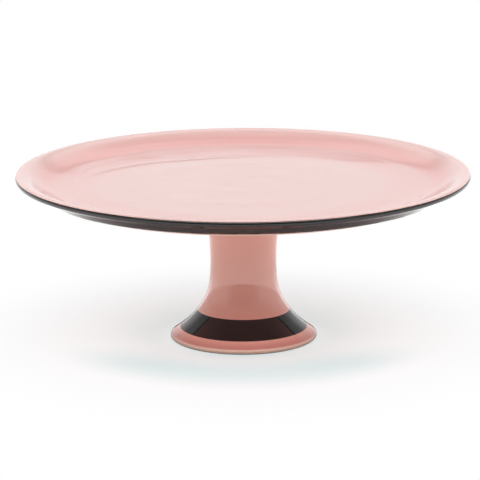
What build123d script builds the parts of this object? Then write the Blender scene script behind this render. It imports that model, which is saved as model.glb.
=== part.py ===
from build123d import *
from math import acos, degrees, hypot, radians, tan
import os

os.makedirs("parts", exist_ok=True)

# Millimetres. +Z is up, and the origin is the centre of the ring that the foot stands on.
# Every piece is turned about the Z axis, so each section is drawn as (radius, height).

# The whole stand
stand_height = 120.0
plate_radius = 160.0

# Plate: a level well that dishes a little towards its edge, a cove, and a rim that rolls over to the lip
well_radius = 110.0
well_height = 109.7
dish_radius = 129.5
dish_turn = 4.0
rim_roll_radius = 18.0
lip_radius = 2.25
plate_thickness = 5.8

# Under the rim: a soft groove below the lip, a sloping side, its shoulder, and the step at the base
groove_rounding = 14.0
slope_angle = 31.0
shoulder = Vector(143.5, 107.3)
shoulder_rounding = 12.0
base_radius = 132.0
base_step = 1.0

# Pedestal: a hollow stem that flares to the foot in one curve and opens a little to its collar
waist_radius = 23.5
waist_height = 52.0
flare_reach = 33.3
flare_power = 2.6
collar_reach = 6.2
pedestal_wall = 6.0
foot_radius = 51.8
foot_rounding = 1.9
foot_ring_inner_radius = 44.5

# Joint: a boss under the plate sits in the collar, bedded in joining slip
boss_height = 7.0
boss_chamfer = 1.0
slip_thickness = 0.6
slip_bead = 3.0
bead_hollow = 6.0

# Black glaze, laid flush in the clay
glaze_depth = 0.4
rim_band_start = 43.0
foot_band_low = 8.0
foot_band_high = 20.3

# Worked out from the sizes above
underside = well_height - plate_thickness
base_edge = underside + base_step
pedestal_top = underside - slip_thickness
boss_bottom = underside - boss_height
socket_floor = boss_bottom - slip_thickness
lip_centre = Vector(plate_radius - lip_radius, stand_height - lip_radius)
base_corner = Vector(base_radius, base_edge)

# The groove is an arc that touches the lip's circle from outside and the sloping side
slope_square = Vector(0, -1).rotate(Axis.Z, slope_angle)
lip_to_slope = (shoulder - lip_centre).dot(slope_square)
groove_reach = lip_radius + groove_rounding
groove_turn = slope_angle - 90 - degrees(acos((lip_to_slope + groove_rounding) / groove_reach))
groove_centre = lip_centre + Vector(groove_reach, 0).rotate(Axis.Z, groove_turn)
slope_start = groove_centre - slope_square * groove_rounding

# The dish turns slowly out of the level well, and the cove is the arc from its edge that touches the roll
well_edge = Vector(well_radius, well_height)
dish_edge = well_edge + Vector(1, tan(radians(dish_turn / 2))) * (dish_radius - well_radius)
dish_square = Vector(0, 1).rotate(Axis.Z, dish_turn)
roll_centre = Vector(lip_centre.X, stand_height - rim_roll_radius)
edge_to_roll = roll_centre - dish_edge
cove_reach = edge_to_roll.length**2 - rim_roll_radius**2
cove_radius = cove_reach / (2 * (rim_roll_radius + edge_to_roll.dot(dish_square)))
cove_centre = dish_edge + dish_square * cove_radius
roll_start = roll_centre + (cove_centre - roll_centre).normalized() * rim_roll_radius
roll_turn = (roll_start - roll_centre).get_angle(Vector(1, 0))


def stem_radius(height):
    if height < waist_height:
        return waist_radius + flare_reach * ((waist_height - height) / waist_height) ** flare_power
    return waist_radius + collar_reach * ((height - waist_height) / (pedestal_top - waist_height)) ** 2


def stem_point(height, depth=0.0):
    # the point that lies depth inside the stem's outer surface, square to it
    step = 0.01
    slope = (stem_radius(height + step) - stem_radius(height - step)) / (2 * step)
    length = hypot(1, slope)
    return (stem_radius(height) - depth / length, height + depth * slope / length)


def stem_line(low, high, count, depth=0.0):
    return [stem_point(low + (high - low) * i / (count - 1), depth) for i in range(count)]


foot_edge = waist_height * (1 - ((foot_radius - waist_radius) / flare_reach) ** (1 / flare_power))
socket_radius = stem_point(socket_floor, pedestal_wall)[0]
boss_radius = socket_radius - slip_thickness

with BuildLine() as rim_underside:
    lip_outside = CenterArc(lip_centre, lip_radius, rim_band_start, groove_turn - rim_band_start)
    TangentArc(lip_outside @ 1, slope_start, tangent=lip_outside % 1)
    FilletPolyline(slope_start, shoulder, base_corner, radius=shoulder_rounding)

with BuildPart() as rim_glaze_band:
    with BuildSketch(Plane.XZ) as rim_band_section:
        with BuildLine():
            add(rim_underside.line)
            offset(amount=glaze_depth, side=Side.RIGHT, closed=True)
        make_face()
    revolve(axis=Axis.Z)
rim_glaze_band.part.label = "rim_glaze_band"
export_step(rim_glaze_band.part, "parts/rim_glaze_band.step")

with BuildPart() as plate:
    with BuildSketch(Plane.XZ):
        with BuildLine():
            Polyline(
                base_corner,
                (base_radius, underside),
                (boss_radius, underside),
                (boss_radius, boss_bottom + boss_chamfer),
                (boss_radius - boss_chamfer, boss_bottom),
                (0, boss_bottom),
                (0, well_height),
                well_edge,
            )
            TangentArc(well_edge, dish_edge, tangent=(1, 0))
            TangentArc(dish_edge, roll_start, tangent=dish_square.rotate(Axis.Z, -90))
            CenterArc(roll_centre, rim_roll_radius, roll_turn, 90 - roll_turn)
            CenterArc(lip_centre, lip_radius, 90, rim_band_start - 90)
            add(rim_underside.line)
        make_face()
        add(rim_band_section.sketch_local, mode=Mode.SUBTRACT)
    revolve(axis=Axis.Z)
plate.part.label = "plate"
export_step(plate.part, "parts/plate.step")

with BuildPart() as foot_glaze_band:
    with BuildSketch(Plane.XZ) as foot_band_section:
        with BuildLine():
            outer = Spline(*stem_line(foot_band_low, foot_band_high, 5))
            inner = Spline(*stem_line(foot_band_low, foot_band_high, 5, glaze_depth))
            Line(outer @ 0, inner @ 0)
            Line(outer @ 1, inner @ 1)
        make_face()
    revolve(axis=Axis.Z)
foot_glaze_band.part.label = "foot_glaze_band"
export_step(foot_glaze_band.part, "parts/foot_glaze_band.step")

with BuildPart() as pedestal:
    with BuildSketch(Plane.XZ) as pedestal_section:
        with BuildLine():
            foot_flare = Spline(*stem_line(foot_edge, foot_band_low, 4))
            Spline(*stem_line(foot_band_low, foot_band_high, 5))
            stem = Spline(*stem_line(foot_band_high, pedestal_top, 9))
            hollow = Spline(*stem_line(foot_band_low, socket_floor, 10, pedestal_wall))
            Polyline(stem @ 1, (socket_radius, pedestal_top), hollow @ 1)
            Polyline(foot_flare @ 0, (foot_radius, 0), (foot_ring_inner_radius, 0), hollow @ 0)
        make_face()
        foot_corners = pedestal_section.vertices().group_by(Axis.X)[-1]
        fillet(foot_corners, foot_rounding)
        add(foot_band_section.sketch_local, mode=Mode.SUBTRACT)
    revolve(axis=Axis.Z)
pedestal.part.label = "pedestal"
export_step(pedestal.part, "parts/pedestal.step")

with BuildPart() as joint_slip:
    with BuildSketch(Plane.XZ):
        with BuildLine():
            bead_foot = pedestal_top - slip_bead
            bead = RadiusArc(
                (stem_radius(bead_foot), bead_foot),
                (stem_radius(pedestal_top) + slip_bead, underside),
                bead_hollow,
            )
            Polyline(
                bead @ 1,
                (boss_radius, underside),
                (boss_radius, boss_bottom + boss_chamfer),
                (socket_radius, boss_bottom + boss_chamfer),
                (socket_radius, bead_foot),
                bead @ 0,
            )
        make_face()
        add(pedestal_section.sketch_local, mode=Mode.SUBTRACT)
    revolve(axis=Axis.Z)
joint_slip.part.label = "joint_slip"
export_step(joint_slip.part, "parts/joint_slip.step")
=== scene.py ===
import math
import bpy
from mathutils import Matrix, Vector, noise


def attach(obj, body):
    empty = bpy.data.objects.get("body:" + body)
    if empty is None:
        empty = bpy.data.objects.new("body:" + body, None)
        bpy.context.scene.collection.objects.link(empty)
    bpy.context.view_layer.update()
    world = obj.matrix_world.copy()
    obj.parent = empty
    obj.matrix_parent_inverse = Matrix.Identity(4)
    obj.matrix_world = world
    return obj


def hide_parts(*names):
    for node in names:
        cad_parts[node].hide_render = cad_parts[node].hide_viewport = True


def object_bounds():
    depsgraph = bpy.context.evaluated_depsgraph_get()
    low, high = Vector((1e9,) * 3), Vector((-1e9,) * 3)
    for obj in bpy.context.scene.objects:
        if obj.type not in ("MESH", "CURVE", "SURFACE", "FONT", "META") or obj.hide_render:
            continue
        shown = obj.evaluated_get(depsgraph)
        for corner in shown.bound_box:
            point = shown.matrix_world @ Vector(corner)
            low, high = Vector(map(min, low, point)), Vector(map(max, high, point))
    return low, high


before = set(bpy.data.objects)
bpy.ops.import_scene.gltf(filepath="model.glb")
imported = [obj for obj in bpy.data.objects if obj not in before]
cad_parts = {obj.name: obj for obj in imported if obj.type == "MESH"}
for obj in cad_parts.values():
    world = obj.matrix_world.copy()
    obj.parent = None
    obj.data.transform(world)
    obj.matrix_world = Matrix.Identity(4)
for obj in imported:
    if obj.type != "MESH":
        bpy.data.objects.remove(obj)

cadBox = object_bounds()
mm = 0.001  # sections are drawn in millimetres, as (radius, height)
print("frame loaded:", ", ".join(sorted(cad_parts)))


class Value:  # one socket of a shader, so that maths on it reads as plain Python
    def __init__(self, shader, socket):
        self.shader = shader
        self.socket = socket

    def __add__(self, other):
        return self.shader.maths("ADD", self, other)

    def __sub__(self, other):
        return self.shader.maths("SUBTRACT", self, other)

    def __rsub__(self, other):
        return self.shader.maths("SUBTRACT", other, self)

    def __mul__(self, other):
        return self.shader.maths("MULTIPLY", self, other)

    __radd__ = __add__
    __rmul__ = __mul__


class Shader:  # the node tree of one material or of the world
    def __init__(self, owner):
        owner.use_nodes = True
        self.owner = owner
        self.tree = owner.node_tree
        self.tree.nodes.clear()

    def node(self, kind, settings={}, inputs={}, output=0):
        made = self.tree.nodes.new(kind)
        for name, setting in settings.items():
            setattr(made, name, setting)
        for name, value in inputs.items():
            if isinstance(value, Value):
                self.tree.links.new(value.socket, made.inputs[name])
            else:
                made.inputs[name].default_value = value
        return Value(self, made.outputs[output]) if made.outputs else None

    def maths(self, operation, *values):
        return self.node("ShaderNodeMath", {"operation": operation}, dict(enumerate(values)))

    def mix(self, factor, first, second):  # colours, through the Mix node's colour sockets
        return self.node("ShaderNodeMix", {"data_type": "RGBA"}, {0: factor, 6: first, 7: second}, output=2)

    def step(self, value, low, high):  # 0 below low, 1 above high, smooth between
        inputs = {"Value": value, "From Min": low, "From Max": high}
        return self.node("ShaderNodeMapRange", {"interpolation_type": "SMOOTHSTEP"}, inputs)

    def noise(self, place, scale, detail=2.0, distortion=0.0):
        return self.node("ShaderNodeTexNoise", {}, {"Vector": place, "Scale": scale, "Detail": detail,
                                                    "Distortion": distortion})

    def place(self):  # where a point is on the object, in metres
        return self.node("ShaderNodeTexCoord", output="Object")

    def part(self, vector, axis):
        return self.node("ShaderNodeSeparateXYZ", {}, {"Vector": vector}, output=axis)

    def fromAxis(self, place):  # distance from the stand's axis
        x = self.part(place, "X")
        y = self.part(place, "Y")
        return self.maths("SQRT", x * x + y * y)


def colour(red, green, blue):
    return (red, green, blue, 1.0)


def grey(level):
    return colour(level, level, level)


def arc(centre, radius, start, end, count):
    turns = [math.radians(start + (end - start) * i / (count - 1)) for i in range(count)]
    return [(centre[0] + radius * math.cos(t), centre[1] + radius * math.sin(t)) for t in turns]


def straight(start, end, count):
    return [tuple(a + (b - a) * i / (count - 1) for a, b in zip(start, end)) for i in range(count)]


def leavingArc(start, end, heading, count):  # the arc from start to end that sets off at this heading
    chord = Vector(end) - Vector(start)
    bend = math.remainder(math.atan2(chord.y, chord.x) - math.radians(heading), 2 * math.pi)
    radius = chord.length / (2 * math.sin(bend))
    side = Vector((-math.sin(math.radians(heading)), math.cos(math.radians(heading))))
    centre = Vector(start) + radius * side
    first = math.degrees(math.atan2(start[1] - centre.y, start[0] - centre.x))
    return arc(centre, abs(radius), first, first + math.degrees(2 * bend), count)


def inset(run, depth):  # the run moved square to itself, to its left for a depth above 0
    moved = []
    for i, point in enumerate(run):
        before = run[max(i - 1, 0)]
        after = run[min(i + 1, len(run) - 1)]
        along = Vector((after[0] - before[0], after[1] - before[1])).normalized()
        moved.append((point[0] - depth * along.y, point[1] + depth * along.x))
    return moved


def joined(*runs):  # one section from runs that share their end points
    section = []
    for point in [point for run in runs for point in run]:
        if not section or math.dist(point, section[-1]) > 1e-6:
            section.append(point)
    return section


def lathe(name, section, closed=True, relief=None, turns=256):
    # turns a section about Z; a point on the axis becomes one vertex, and relief lifts the others
    vertices, faces, rings = [], [], []
    for radius, height in section:
        if radius < 1e-6:
            rings.append([len(vertices)] * turns)
            vertices.append((0.0, 0.0, height * mm))
            continue
        rings.append(list(range(len(vertices), len(vertices) + turns)))
        for i in range(turns):
            angle = 2 * math.pi * i / turns
            x, y = radius * math.cos(angle), radius * math.sin(angle)
            lift = relief(x, y, height) if relief else 0.0
            vertices.append((x * mm, y * mm, (height + lift) * mm))
    pairs = list(zip(rings, rings[1:]))
    if closed:
        pairs.append((rings[-1], rings[0]))
    for low, high in pairs:
        for i in range(turns):
            j = (i + 1) % turns
            corners = (low[i], low[j], high[j], high[i])
            faces.append([c for k, c in enumerate(corners) if c != corners[k - 1]])
    mesh = bpy.data.meshes.new(name)
    mesh.from_pydata(vertices, [], faces)
    mesh.shade_smooth()
    mesh.set_sharp_from_angle(angle=math.radians(35))
    piece = bpy.data.objects.new(name, mesh)
    bpy.context.scene.collection.objects.link(piece)
    return piece


def seat(piece, node, material):  # gives a piece its finish and its place in the frame
    piece.data.materials.append(material)
    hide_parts(node)
    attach(piece, "root")


# the sizes that more than one piece shares
stand = {
    "radius": min(-cadBox[0].x, cadBox[1].x, -cadBox[0].y, cadBox[1].y) / mm,
    "height": cadBox[1].z / mm,
    "underside": 103.9,
    "slipThickness": 0.6,
    "glazeDepth": 0.4,
    "bossRadius": 21.65,
    "bossHeight": 7.0,
    "bossChamfer": 1.0,
}
stand["collarTop"] = stand["underside"] - stand["slipThickness"]
stand["socketRadius"] = stand["bossRadius"] + stand["slipThickness"]

lip = {
    "radius": 2.25,
    "bandStart": 43.0,
    "groove": 14.0,            # rounding of the soft groove below the lip
    "slopeAngle": 31.0,
    "shoulder": (143.5, 107.3),
    "shoulderRounding": 12.0,
    "baseRadius": 132.0,
    "baseStep": 1.0,
}
lip["centre"] = (stand["radius"] - lip["radius"], stand["height"] - lip["radius"])
lip["baseEdge"] = (lip["baseRadius"], stand["underside"] + lip["baseStep"])


def towards(angle):
    return Vector((math.cos(math.radians(angle)), math.sin(math.radians(angle))))


def rimBandRun():  # the outer line of the black glaze: the lip, the groove, the sloping side, its shoulder
    slope = lip["slopeAngle"]
    square = towards(slope - 90)
    lipToSlope = (Vector(lip["shoulder"]) - Vector(lip["centre"])).dot(square)
    reach = lip["radius"] + lip["groove"]
    grooveTurn = slope - 90 - math.degrees(math.acos((lipToSlope + lip["groove"]) / reach))
    grooveCentre = Vector(lip["centre"]) + reach * towards(grooveTurn)
    toBase = Vector(lip["shoulder"]) - Vector(lip["baseEdge"])
    flat = math.degrees(math.atan2(toBase.y, toBase.x))
    setBack = lip["shoulderRounding"] * math.tan(math.radians(slope - flat) / 2)
    leave = Vector(lip["shoulder"]) + setBack * towards(slope)
    shoulderCentre = leave - lip["shoulderRounding"] * square
    return joined(
        arc(lip["centre"], lip["radius"], lip["bandStart"], grooveTurn, 30),
        arc(grooveCentre, lip["groove"], grooveTurn + 180, slope + 90, 16),
        straight(grooveCentre - lip["groove"] * square, leave, 12),
        arc(shoulderCentre, lip["shoulderRounding"], slope - 90, flat - 90, 8),
        straight(shoulderCentre + lip["shoulderRounding"] * towards(flat - 90), lip["baseEdge"], 8),
    )


plateShape = {
    "wellRadius": 110.0,
    "wellHeight": 109.7,
    "dishRadius": 129.5,     # where the well's shallow dish meets the cove
    "dishTurn": 4.0,
    "rimRoll": 18.0,         # radius of the rim's roll over to the lip
    "baseRounding": 0.5,
    "ringDepth": 0.12,       # broad throwing rings, millimetres
    "ringSpacing": 40.0,
    "lineDepth": 0.012,      # fine ones between them
    "lineSpacing": 11.0,
    "rippleDepth": 0.045,    # ripples in the dish
    "rippleSpacing": 6.0,
    "rippleStart": 112.0,
    "rippleEnd": 131.0,
    "stepRadius": 107.0,     # a finger's step round the back of the dish
    "stepLeftShift": 13.0,   # it starts this much further out on the left
    "stepRightSpread": 75.0,
    "stepTop": 129.0,        # it rises as far as this
    "stepFade": (137.0, 155.0),
    "stepEdge": 0.30,
    "stepEdgeReach": 5.0,
    "stepSlope": 0.045,
    "streakRadius": 95.0,    # the streak that it left inside the step, on the left
    "streakShift": 19.0,
    "streakTail": 30.0,
    "streakWidth": 7.0,
    "streakDepth": 0.55,
    "unevenDepth": 0.16,     # slow swells left by the turning
    "unevenSpacing": 62.0,
}


def wellAndCove():  # from the end of the lip over the rim's roll, down the cove and across the well
    turn = plateShape["dishTurn"]
    across = plateShape["dishRadius"] - plateShape["wellRadius"]
    wellEdge = Vector((plateShape["wellRadius"], plateShape["wellHeight"]))
    dishEdge = wellEdge + across * Vector((1, math.tan(math.radians(turn / 2))))
    dishCurve = across / math.sin(math.radians(turn))
    roll = plateShape["rimRoll"]
    rollCentre = Vector((lip["centre"][0], stand["height"] - roll))
    reach = rollCentre - dishEdge
    square = towards(turn + 90)
    cove = (reach.length_squared - roll**2) / (2 * (roll + reach.dot(square)))
    coveCentre = dishEdge + cove * square
    toCove = coveCentre - rollCentre
    rollTurn = math.degrees(math.atan2(toCove.y, toCove.x))
    return joined(
        arc(lip["centre"], lip["radius"], lip["bandStart"], 90, 20),
        arc(rollCentre, roll, 90, rollTurn, 24),
        arc(coveCentre, cove, rollTurn - 180, turn - 90, 30),
        arc((wellEdge.x, wellEdge.y + dishCurve), dishCurve, turn - 90, -90, 44),
        straight(wellEdge, (0, plateShape["wellHeight"]), 96),
    )


def within(value, low, high):  # 0 at low, 1 at high, and no further
    return min(max((value - low) / (high - low), 0.0), 1.0)


def eased(value, low, high):  # the same, with soft ends
    part = within(value, low, high)
    return part * part * (3 - 2 * part)


def fingerStep(radius, around):  # around is the angle from the back, above 0 to the right
    start = plateShape["stepRadius"] + plateShape["stepLeftShift"] * eased(around, -0.5, -0.8)
    start += plateShape["stepRightSpread"] * max(around - 0.5, 0.0) ** 2
    past = max(min(radius, plateShape["stepTop"]) - start, 0.0)
    crisp = within(abs(around - 0.03), 0.05, 0.4)
    edge = plateShape["stepEdge"] * crisp * (1 - math.exp(-past / plateShape["stepEdgeReach"]))
    step = plateShape["stepSlope"] * past + edge
    step *= 0.5 + 0.5 * math.cos(math.pi * within(radius, *plateShape["stepFade"]))
    return step * (within(around, -1.3, -1.1) * within(around, 1.05, 0.8))


def fingerStreak(radius, around):
    middle = plateShape["streakRadius"] + plateShape["streakShift"] * max(-around - 0.4, 0.0)
    half = plateShape["streakWidth"] / 2
    rise = eased(radius, middle - half, middle + half)
    streak = rise * within(radius, middle + plateShape["streakTail"], middle + half)
    return plateShape["streakDepth"] * streak * within(around, -1.3, -1.15) * within(around, 0.2, -0.1)


def throwingRings(x, y, height):
    if height < plateShape["wellHeight"] - 0.5:  # the underside
        return 0.0
    radius = math.hypot(x, y)
    turned = math.atan2(y, x) / (2 * math.pi)
    patchy = 0.6 + 0.9 * noise.noise(Vector((x / 45, y / 45, radius / 9)))
    rings = plateShape["ringDepth"] * math.sin(2 * math.pi * (radius / plateShape["ringSpacing"] + turned))
    rings += plateShape["lineDepth"] * math.sin(2 * math.pi * (radius / plateShape["lineSpacing"] + turned))
    rings *= patchy * within(radius, 0, 12)
    inDish = within(radius, plateShape["rippleStart"], plateShape["rippleStart"] + 8)
    inDish *= within(radius, plateShape["rippleEnd"], plateShape["rippleEnd"] - 5)
    ripples = math.sin(2 * math.pi * (radius / plateShape["rippleSpacing"] + turned))
    rings += plateShape["rippleDepth"] * ripples * inDish * patchy
    around = math.atan2(x, y)
    step = fingerStep(radius, around) + fingerStreak(radius, around)
    spacing = plateShape["unevenSpacing"]
    swell = plateShape["unevenDepth"] * noise.noise(Vector((x / spacing, y / spacing, 3.7)))
    return (rings + step + swell) * within(radius, lip["centre"][0] - 4, lip["centre"][0] - 18)


def makePlate(material):
    rounding = plateShape["baseRounding"]
    baseCentre = (lip["baseRadius"] - rounding, stand["underside"] + rounding)
    bossBottom = stand["underside"] - stand["bossHeight"]
    section = joined(
        straight((0, bossBottom), (stand["bossRadius"] - stand["bossChamfer"], bossBottom), 6),
        [(stand["bossRadius"], bossBottom + stand["bossChamfer"])],
        straight((stand["bossRadius"], stand["underside"]), (baseCentre[0], stand["underside"]), 40),
        arc(baseCentre, rounding, -90, 0, 6),
        [lip["baseEdge"]],
        reversed(inset(rimBandRun(), -stand["glazeDepth"])),
        wellAndCove(),
    )
    piece = lathe("plate_glazed", section, closed=False, relief=throwingRings)
    seat(piece, "plate", material)


def makeRimBand(material):
    run = rimBandRun()
    section = joined(run, reversed(inset(run, -stand["glazeDepth"])))
    seat(lathe("rim_band_glazed", section), "rim_glaze_band", material)


pedestalShape = {
    "waistRadius": 23.5,
    "waistHeight": 52.0,
    "flareReach": 33.3,
    "flarePower": 2.6,
    "collarReach": 6.2,
    "wall": 6.0,
    "footRadius": 51.8,
    "footRounding": 1.9,
    "footRingInner": 44.5,
    "bandLow": 8.0,
    "bandHigh": 20.3,
}


def stemRadius(height):
    waist = pedestalShape["waistHeight"]
    if height < waist:
        rise = ((waist - height) / waist) ** pedestalShape["flarePower"]
        return pedestalShape["waistRadius"] + pedestalShape["flareReach"] * rise
    rise = ((height - waist) / (stand["collarTop"] - waist)) ** 2
    return pedestalShape["waistRadius"] + pedestalShape["collarReach"] * rise


def stemRun(low, high, count):
    heights = [low + (high - low) * i / (count - 1) for i in range(count)]
    return [(stemRadius(h), h) for h in heights]


def footLip():  # the rounded edge of the foot: where it stands and where it runs into the flare
    rounding = pedestalShape["footRounding"]
    middle = pedestalShape["footRadius"] - rounding
    outer = stemRun(2.0, pedestalShape["bandLow"], 200)
    flare = inset(outer, rounding)
    meet = min(range(len(flare)), key=lambda i: abs(flare[i][0] - middle))
    edge = outer[meet]
    turn = math.degrees(math.atan2(edge[1] - flare[meet][1], edge[0] - middle))
    low = arc((middle, rounding), rounding, -90, 0, 10)
    high = arc((middle, flare[meet][1]), rounding, 0, turn, 10)
    return low + high, edge[1]


def makePedestal(material):
    edge, flareStart = footLip()
    band = stemRun(pedestalShape["bandLow"], pedestalShape["bandHigh"], 24)
    hollow = inset(stemRun(pedestalShape["bandLow"], stand["collarTop"] - 1.0, 70), pedestalShape["wall"])
    socketFloor = stand["underside"] - stand["bossHeight"] - stand["slipThickness"]
    hollow = [point for point in hollow if point[1] < socketFloor]
    section = joined(
        straight((pedestalShape["footRingInner"], 0), edge[0], 4),
        edge,
        stemRun(flareStart, pedestalShape["bandLow"], 8),
        inset(band, stand["glazeDepth"]),
        stemRun(pedestalShape["bandHigh"], stand["collarTop"], 70),
        [(stand["socketRadius"], stand["collarTop"]), (stand["socketRadius"], socketFloor)],
        reversed(hollow),
    )
    seat(lathe("pedestal_glazed", section), "pedestal", material)


def makeFootBand(material):
    run = stemRun(pedestalShape["bandLow"], pedestalShape["bandHigh"], 24)
    section = joined(run, reversed(inset(run, stand["glazeDepth"])))
    seat(lathe("foot_band_glazed", section), "foot_glaze_band", material)


slipShape = {"bead": 3.0, "beadHollow": 6.0}


def makeSlip(material):
    foot = stand["collarTop"] - slipShape["bead"]
    outside = (stemRadius(stand["collarTop"]) + slipShape["bead"], stand["underside"])
    start = (stemRadius(foot), foot)
    chord = Vector(outside) - Vector(start)
    half = math.degrees(math.asin(chord.length / 2 / slipShape["beadHollow"]))
    heading = math.degrees(math.atan2(chord.y, chord.x)) + half
    bossTop = stand["underside"] - stand["bossHeight"] + stand["bossChamfer"]
    section = joined(
        leavingArc(start, outside, heading, 14),
        [(stand["bossRadius"], stand["underside"]), (stand["bossRadius"], bossTop)],
        [(stand["socketRadius"], bossTop), (stand["socketRadius"], stand["collarTop"])],
        reversed(stemRun(foot, stand["collarTop"], 6)),
    )
    seat(lathe("joint_slip_glazed", section), "joint_slip", material)


# the pinks are given here and may owe part of their differences to the light
pinkGlaze = {
    "deep": colour(0.825, 0.50, 0.465),
    "pale": colour(0.84, 0.532, 0.50),
    # a deeper, redder pink over the dish and cove, in part painted light and shade for how the light falls
    # there
    "cove": colour(0.868, 0.437, 0.411),
    # a paler pink towards the lip, in part a painted highlight where the cove mirrors the light overhead
    "lip": colour(0.90, 0.585, 0.55),
    "ior": 1.52,
}

# painted warm shade: the stem and slip get a deeper pink than the plate, standing in for the shade and pink
# bounce under the plate
stemGlazePaintedShade = {  # a deeper pink than the plate's
    "deep": colour(0.79, 0.375, 0.303),
    "pale": colour(0.82, 0.405, 0.33),
    # painted shade: the foot's pink lip made darker
    "foot": colour(0.60, 0.24, 0.205),
    "ior": 1.6,
}

glazeFinish = {
    "thin": colour(0.83, 0.55, 0.44),   # over an edge
    "clay": colour(0.56, 0.42, 0.31),
    "grogged": colour(0.50, 0.36, 0.26),
    "speckle": 0.9,
    "roughness": 0.07,
    "bareRoughness": 0.6,
}

glazeReach = {  # where each tone starts and is full, in metres from the axis or above the table
    "dish": (0.090, 0.118),
    "cove": (0.129, 0.138),
    "coveEnd": (0.142, 0.155),
    "lip": (0.137, 0.1565),
    "foot": (0.004, 0.008),
    "clay": (0.00035, 0.0006),
}


def pinkMaterial(name, glaze, coats, bareClay=None):  # coats are pairs of a mask and the colour it lays on
    shader = Shader(bpy.data.materials.new(name))
    place = shader.place()
    radius = shader.fromAxis(place)
    height = shader.part(place, "Z")
    cloud = shader.step(shader.noise(place, 16, 3.0, 0.4), 0.35, 0.65)
    grain = shader.noise(place, 900, 1.0) - 0.5
    body = shader.mix(0.7 * cloud + glazeFinish["speckle"] * grain + 0.15, glaze["deep"], glaze["pale"])
    for mask, tone in coats:
        body = shader.mix(mask(shader, radius, height), body, tone)
    roughness = glazeFinish["roughness"] + 0.03 * shader.noise(place, 45, 2.0)
    if bareClay:
        bare = bareClay(shader, height, place)
        clay = shader.mix(shader.noise(place, 1400, 2.0), glazeFinish["clay"], glazeFinish["grogged"])
        body = shader.mix(bare, body, clay)
        roughness = roughness + glazeFinish["bareRoughness"] * bare
    peel = shader.noise(place, 130, 1.0)
    normal = shader.node("ShaderNodeBump", {}, {"Height": peel, "Strength": 0.06, "Distance": 0.0002})
    surface = shader.node("ShaderNodeBsdfPrincipled", {}, {
        "Base Color": body, "Roughness": roughness, "IOR": glaze["ior"], "Normal": normal})
    shader.node("ShaderNodeOutputMaterial", {}, {"Surface": surface})
    return shader.owner


# where that deeper pink is laid: in part painted light and shade
def inCovePaintedLight(shader, radius, height):  # by radius alone, so the underside has it too
    rising = 0.6 * shader.step(radius, *glazeReach["dish"]) + 0.4 * shader.step(radius, *glazeReach["cove"])
    return rising * (1 - shader.step(radius, *glazeReach["coveEnd"]))


# where that paler pink is laid: in part a painted highlight
def nearLipPaintedHighlight(shader, radius, height):
    return shader.step(radius, *glazeReach["lip"])


# painted shade on the foot's pink lip, darker towards the bottom
def onFootPaintedShade(shader, radius, height):
    return 1 - shader.step(height, *glazeReach["foot"])


def plateThin(shader, radius, height):
    lipEdge = shader.step(radius, (stand["radius"] - 1.6) * mm, (stand["radius"] - 0.8) * mm)
    base = shader.step(radius, (lip["baseRadius"] - 1.0) * mm, (lip["baseRadius"] - 0.2) * mm)
    below = 1 - shader.step(height, (stand["underside"] + 1.2) * mm, (stand["underside"] + 2.5) * mm)
    return 0.25 * lipEdge * (1 - below) + base * below


# paler at the foot's outer edge: thinner glaze, and in part painted light from the white floor beneath
def footEdgeThinAndPaintedLight(shader, radius, height):
    edge = pedestalShape["footRadius"]
    return shader.step(radius, (edge - 1.1) * mm, (edge - 0.1) * mm)


def footClay(shader, height, place):
    ragged = height + 0.0003 * shader.noise(place, 300, 2.0)
    return 1 - shader.step(ragged, *glazeReach["clay"])


blackGlaze = {
    "body": colour(0.0030, 0.0009, 0.0011),
    "cloudy": colour(0.0055, 0.0020, 0.0022),
    "ior": 1.50,
    "roughness": 0.05,
}


def blackMaterial(name):
    shader = Shader(bpy.data.materials.new(name))
    place = shader.place()
    cloud = shader.noise(place, 60, 2.0)
    body = shader.mix(cloud, blackGlaze["body"], blackGlaze["cloudy"])
    waves = shader.noise(place, 75, 1.5) + 0.25 * shader.noise(place, 260, 1.0)
    normal = shader.node("ShaderNodeBump", {}, {"Height": waves, "Strength": 0.35, "Distance": 0.0004})
    roughness = blackGlaze["roughness"] + 0.04 * shader.noise(place, 90, 2.0)
    surface = shader.node("ShaderNodeBsdfPrincipled", {}, {
        "Base Color": body, "Roughness": roughness, "IOR": blackGlaze["ior"], "Normal": normal})
    shader.node("ShaderNodeOutputMaterial", {}, {"Surface": surface})
    return shader.owner


plateCoats = [(inCovePaintedLight, pinkGlaze["cove"]), (nearLipPaintedHighlight, pinkGlaze["lip"]), (plateThin, glazeFinish["thin"])]
footCoats = [(onFootPaintedShade, stemGlazePaintedShade["foot"]), (footEdgeThinAndPaintedLight, glazeFinish["thin"])]
makePlate(pinkMaterial("pink_glaze_plate", pinkGlaze, plateCoats))
makeRimBand(blackMaterial("black_glaze_rim"))
makePedestal(pinkMaterial("pink_glaze_pedestal", stemGlazePaintedShade, footCoats, footClay))
makeFootBand(blackMaterial("black_glaze_foot"))
makeSlip(pinkMaterial("pink_glaze_slip", stemGlazePaintedShade, []))
print("pieces turned and glazed")


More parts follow.
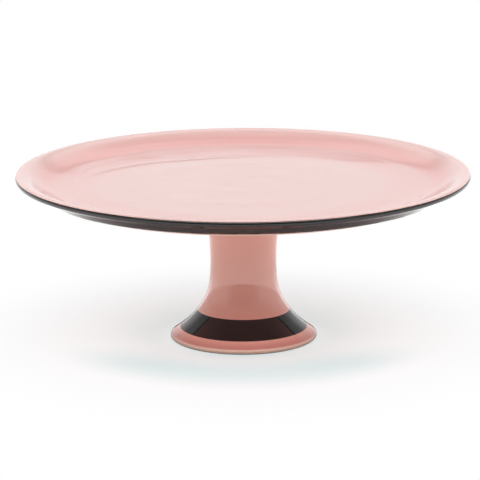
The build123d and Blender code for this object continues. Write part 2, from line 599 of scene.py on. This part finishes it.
# the camera sees a white floor with a shadow
# the stand is lit by, and mirrors, another one that gives off light
floorLook = {
    "size": 6.0,
    "albedo": 0.80,
    # painted shade: the floor that lights the stand is darker under the plate
    "underPaintedShadeAlbedo": 0.34,                        # under the plate
    "underPaintedShadeReach": (0.08, 0.17),
    "lift": 0.95,                               # the light that it gives off away from the stand
    "liftReach": (0.14, 0.27),
    "tableEdge": 0.65,                          # nearer to the camera than this it is dark
    "tableEdgeSoft": 0.1,
    "beyondAlbedo": 0.08,
    # the unequal channels of these two are a painted tint that cancels the stand's pink bounce on the floor
    "innerShade": colour(0.80, 0.56, 0.555),    # the lit floor's share by the foot
    "shade": colour(0.58, 0.555, 0.55),         # and further out
    "shadeChange": (0.05, 0.13),
    "shadeReach": (0.03, 0.24),                 # from the full shadow to none
    # painted light: next to the foot the shadow is shown weaker
    "contactPaintedLight": (0.045, 0.07),
    # painted shadow: in front of the foot the floor's white is made darker, and tinted to cancel the
    # stand's pink bounce
    "frontPaintedShadow": colour(0.15, 0.38, 0.39),      # white's share in front, tinted against the stand's pink
    "frontReach": (0.07, 0.145),
    "frontDepth": (-0.085, -0.015),
}


def restOfWhite(tone):
    return colour(*[1 - c for c in tone[:3]])


def floorAround(shader, place, radius):  # the floor that lights the stand
    edge = -floorLook["tableEdge"]
    table = shader.step(shader.part(place, "Y"), edge - floorLook["tableEdgeSoft"], edge)
    away = shader.step(radius, *floorLook["underPaintedShadeReach"])
    # darker under the plate: painted shade
    pale = shader.mix(away, grey(floorLook["underPaintedShadeAlbedo"]), grey(floorLook["albedo"]))
    lit = shader.mix(table, grey(floorLook["beyondAlbedo"]), pale)
    glow = shader.mix(shader.step(radius, *floorLook["liftReach"]) * table, grey(0.0), grey(1.0))
    return shader.node("ShaderNodeAddShader", {}, {
        0: shader.node("ShaderNodeBsdfDiffuse", {}, {"Color": lit}),
        1: shader.node("ShaderNodeEmission", {}, {"Color": glow, "Strength": floorLook["lift"]})})


def floorSeen(shader, place, radius):  # the floor that the camera sees
    near = 1 - shader.step(radius, *floorLook["shadeReach"])
    # painted light: the shadow weaker next to the foot
    near = near * (0.7 + 0.3 * shader.step(radius, *floorLook["contactPaintedLight"]))
    out = shader.step(radius, *floorLook["shadeChange"])
    # tinted to cancel the stand's pink bounce: painted
    tone = shader.mix(out, floorLook["innerShade"], floorLook["shade"])
    unshaded = shader.mix(out, restOfWhite(floorLook["innerShade"]), restOfWhite(floorLook["shade"]))
    # in front of the foot a painted shadow takes the place of the white
    front = 1 - shader.step(radius, *floorLook["frontReach"])
    front = front * (1 - shader.step(shader.part(place, "Y"), *floorLook["frontDepth"]))
    white = shader.mix(front, shader.mix(near, grey(1.0), unshaded), floorLook["frontPaintedShadow"])
    return shader.node("ShaderNodeAddShader", {}, {
        0: shader.node("ShaderNodeBsdfDiffuse", {}, {"Color": shader.mix(near, grey(0.0), tone)}),
        1: shader.node("ShaderNodeEmission", {}, {"Color": white})})


def makeFloor():
    half = floorLook["size"]
    corners = [(-half, -half, 0), (half, -half, 0), (half, half, 0), (-half, half, 0)]
    mesh = bpy.data.meshes.new("floor")
    mesh.from_pydata(corners, [], [(0, 1, 2, 3)])
    floor = bpy.data.objects.new("floor", mesh)
    bpy.context.scene.collection.objects.link(floor)
    shader = Shader(bpy.data.materials.new("pale_floor"))
    place = shader.place()
    radius = shader.fromAxis(place)
    seen = shader.node("ShaderNodeLightPath", output="Is Camera Ray")
    around = floorAround(shader, place, radius)
    shown = floorSeen(shader, place, radius)
    surface = shader.node("ShaderNodeMixShader", {}, {0: seen, 1: around, 2: shown})
    shader.node("ShaderNodeOutputMaterial", {}, {"Surface": surface})
    mesh.materials.append(shader.owner)


# a light tent, by the height and side that the light comes from; 1 lights a surface at its own colour
studio = {
    "wall": 1.14,       # the pale wall behind the stand, up to wallTop
    "wallSide": 0.90,   # the same wall further round, past wallWide
    "wallWide": 0.36,
    "wallTop": 0.36,
    "gap": 0.62,        # the dim gap above the wall
    "back": 1.32,       # a softbox above the wall, from backLow to backTop
    "backLow": 0.47,
    "backTop": 0.72,
    "backWide": 0.45,
    "top": 0.10,
    "front": 0.20,      # the dark room behind the camera
    "frontTop": 0.60,
    "key": 5.4,         # the large softbox above the camera, from frontTop to keyTop
    "keyTop": 0.80,
}


def makeStudio():
    world = bpy.data.worlds.new("studio")
    bpy.context.scene.world = world
    shader = Shader(world)
    direction = shader.node("ShaderNodeTexCoord", output="Generated")
    up = shader.part(direction, "Z")
    back = shader.part(direction, "Y")
    aside = shader.maths("ABSOLUTE", shader.part(direction, "X"))

    def past(value, edge, soft=0.05):
        return shader.step(value, studio[edge] - soft, studio[edge] + soft)

    def blend(first, second, mask):
        return first + (second - first) * mask

    inBack = past(up, "backLow") * (1 - past(up, "backTop", 0.11)) * (1 - past(aside, "backWide", 0.1))
    level = blend(studio["wall"], studio["wallSide"], past(aside, "wallWide", 0.12))
    level = blend(level, studio["gap"], past(up, "wallTop"))
    level = blend(level, studio["top"], past(up, "backTop", 0.11))
    level = blend(level, studio["back"], inBack)
    low = blend(level, studio["front"], 1 - shader.step(back, -0.80, -0.55))
    level = blend(level, low, 1 - past(up, "frontTop"))
    high = blend(studio["key"], studio["top"], past(up, "keyTop"))
    level = blend(level, high, (1 - shader.step(back, -0.42, -0.18)) * past(up, "frontTop"))
    seen = shader.node("ShaderNodeLightPath", output="Is Camera Ray")
    surface = shader.node("ShaderNodeBackground", {}, {
        "Color": colour(1.0, 1.0, 1.0), "Strength": blend(level, 1.0, seen)})
    shader.node("ShaderNodeOutputWorld", {}, {"Surface": surface})


cameraView = {
    "distance": 2.05,
    "elevation": 13.22,
    "lens": 217.7,
    "aim": (-0.0023, 0.0, 0.0701),
    "roll": -0.3,
}


def makeCamera():
    camera = bpy.data.objects.new("camera", bpy.data.cameras.new("camera"))
    camera.data.lens = cameraView["lens"]
    camera.data.sensor_width = 36.0
    camera.data.clip_end = 50.0
    elevation = math.radians(cameraView["elevation"])
    back = Vector((0.0, -math.cos(elevation), math.sin(elevation)))
    camera.location = Vector(cameraView["aim"]) + back * cameraView["distance"]
    camera.rotation_euler = (math.pi / 2 - elevation, 0.0, 0.0)
    camera.rotation_euler.rotate_axis("Z", math.radians(cameraView["roll"]))
    bpy.context.scene.collection.objects.link(camera)
    bpy.context.scene.camera = camera


makeFloor()
makeStudio()
makeCamera()
bpy.context.scene.view_settings.view_transform = "Standard"
print("studio set up")
